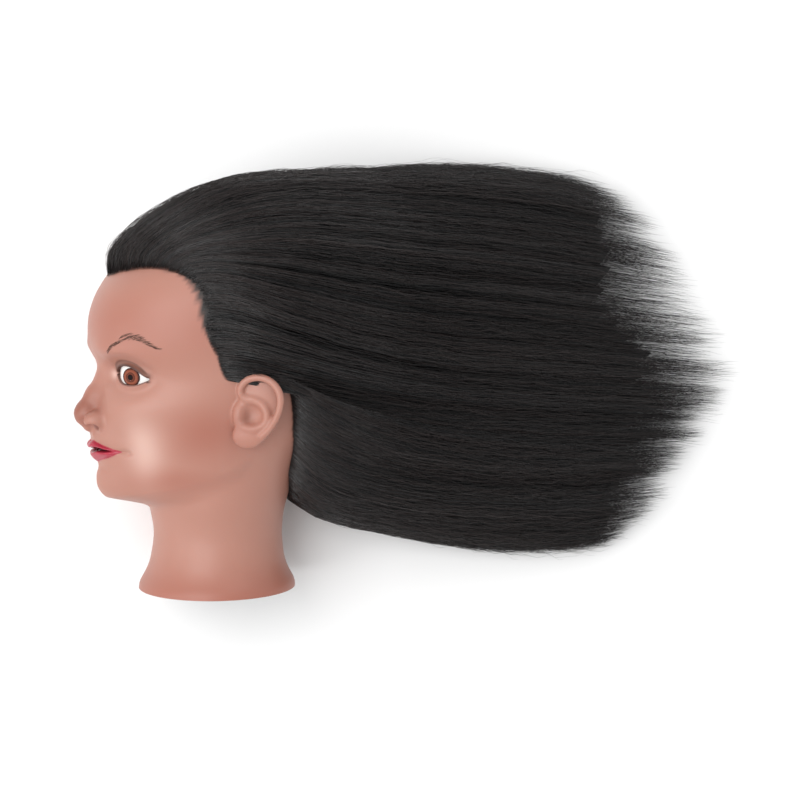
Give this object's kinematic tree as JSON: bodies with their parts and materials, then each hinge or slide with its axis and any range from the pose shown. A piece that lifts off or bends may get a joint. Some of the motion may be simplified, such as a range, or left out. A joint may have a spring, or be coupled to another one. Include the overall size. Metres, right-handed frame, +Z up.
{
  "type": "mannequin training head",
  "caption": "Hairdresser's practice head with long straight black hair, lying on its side with the hair combed out flat behind it.",
  "frame": {"origin": "middle of the footprint, on the bench that the head and its hair lie on", "axes": "+X from the face toward the hair ends, +Y from the neck toward the crown, +Z up from the bench"},
  "size_m": [0.4785, 0.3123, 0.1634],
  "materials": {
    "vinyl_skin": "satin",
    "foam": "matte",
    "latex_backing": "satin",
    "core_plastic": "satin",
    "sleeve_plastic": "satin",
    "cap_plastic": "matte",
    "screw_steel": "satin",
    "eye_white": "gloss",
    "iris_brown": "gloss",
    "clear_acrylic": "gloss",
    "black_hair": "satin"
  },
  "bodies": {
    "head": {"head_skin": "vinyl_skin", "foam_core": "foam", "root_backing": "latex_backing", "neck_core": "core_plastic", "clamp_sleeve": "sleeve_plastic", "base_cap": "cap_plastic", "base_screws": "screw_steel", "eye_white_left": "eye_white", "eye_white_right": "eye_white", "iris_left": "iris_brown", "iris_right": "iris_brown", "cornea_left": "clear_acrylic", "cornea_right": "clear_acrylic", "hair_front": "black_hair", "hair_crown": "black_hair", "hair_left_side": "black_hair", "hair_right_side": "black_hair", "hair_nape": "black_hair", "hair_drape": "black_hair"},
    "hair_length": {"hair_length_upper": "black_hair", "hair_length_middle": "black_hair", "hair_length_lower": "black_hair"}
  },
  "joints": [
    {"name": "hair_lift", "type": "hinge", "parent": "head", "child": "hair_length", "pos_m": [0.0286, 0.0185, 0.0416], "axis": [0, -1, 0], "range_deg": [0, 55]}
  ]
}
